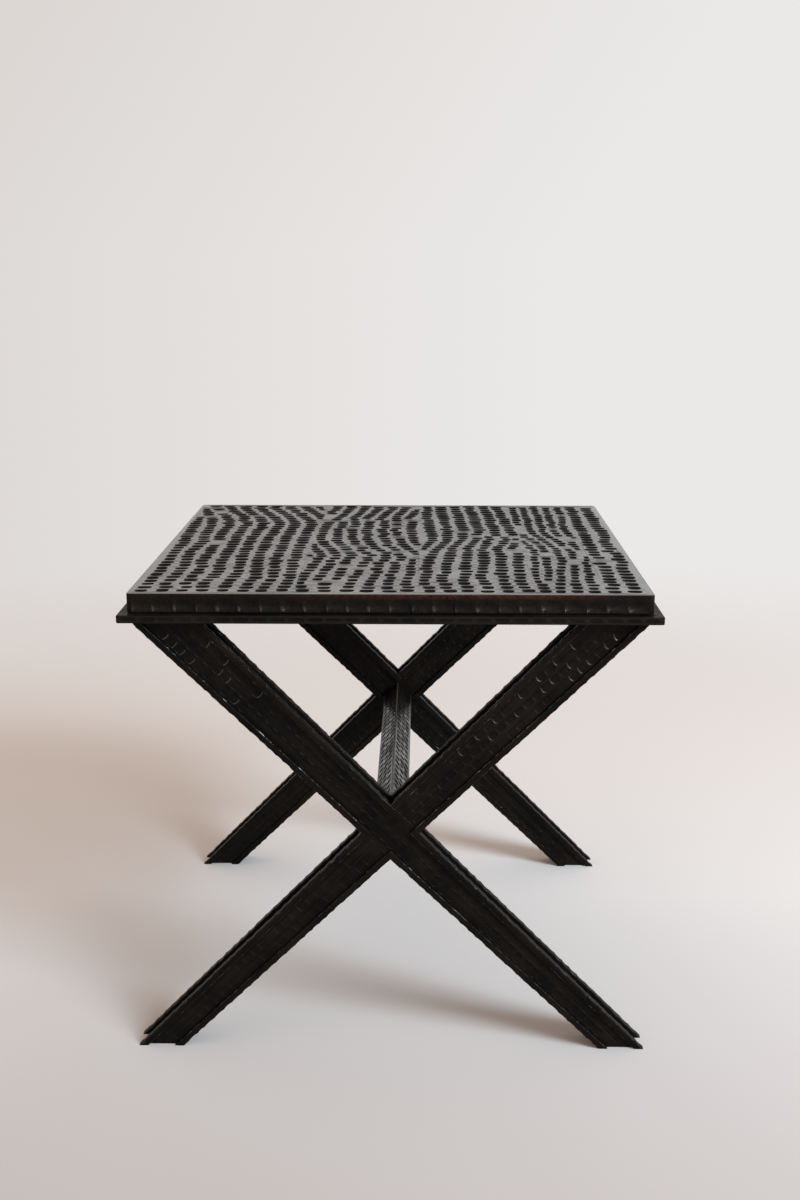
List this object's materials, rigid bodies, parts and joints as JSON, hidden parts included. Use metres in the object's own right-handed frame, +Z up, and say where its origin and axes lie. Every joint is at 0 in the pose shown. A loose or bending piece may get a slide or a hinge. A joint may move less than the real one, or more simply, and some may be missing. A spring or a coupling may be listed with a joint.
{
  "type": "side table",
  "caption": "Low square side table in blackened wood: gouge-carved board top on a thin stepped under-board, crossed leg frames joined by a corner-up rail.",
  "frame": {"origin": "on the floor, under the middle of the top", "axes": "+Z up, -Y towards the pictured front, +X to the right seen from the front"},
  "size_m": [0.621, 0.621, 0.5736],
  "materials": {
    "top_wood": "black stain over dark wood, waxed, gouge-carved, worn to red-brown along the front edge",
    "under_wood": "black stain over dark wood, waxed",
    "leg_wood": "black stain over dark wood, waxed, gouge-carved",
    "rail_wood": "black stain over dark wood, waxed and handled, chip-carved",
    "screw_steel": "plain zinc-dull steel"
  },
  "bodies": {
    "root": {"cross_rail": "rail_wood", "front_leg_foot_left": "leg_wood", "front_leg_foot_right": "leg_wood", "leg_screw_front_left_inner": "screw_steel", "leg_screw_front_left_outer": "screw_steel", "leg_screw_front_right_inner": "screw_steel", "leg_screw_front_right_outer": "screw_steel", "leg_screw_rear_left_inner": "screw_steel", "leg_screw_rear_left_outer": "screw_steel", "leg_screw_rear_right_inner": "screw_steel", "leg_screw_rear_right_outer": "screw_steel", "rear_leg_foot_left": "leg_wood", "rear_leg_foot_right": "leg_wood", "top_board_1": "top_wood", "top_board_2": "top_wood", "top_board_3": "top_wood", "top_board_4": "top_wood", "top_board_5": "top_wood", "top_screw_1_1": "screw_steel", "top_screw_1_2": "screw_steel", "top_screw_1_3": "screw_steel", "top_screw_1_4": "screw_steel", "top_screw_2_1": "screw_steel", "top_screw_2_2": "screw_steel", "top_screw_2_3": "screw_steel", "top_screw_2_4": "screw_steel", "top_screw_3_1": "screw_steel", "top_screw_3_2": "screw_steel", "top_screw_3_3": "screw_steel", "top_screw_3_4": "screw_steel", "top_screw_4_1": "screw_steel", "top_screw_4_2": "screw_steel", "top_screw_4_3": "screw_steel", "top_screw_4_4": "screw_steel", "top_screw_5_1": "screw_steel", "top_screw_5_2": "screw_steel", "top_screw_5_3": "screw_steel", "top_screw_5_4": "screw_steel", "under_board_1": "under_wood", "under_board_2": "under_wood", "under_board_3": "under_wood", "under_board_4": "under_wood"}
  },
  "joints": []
}
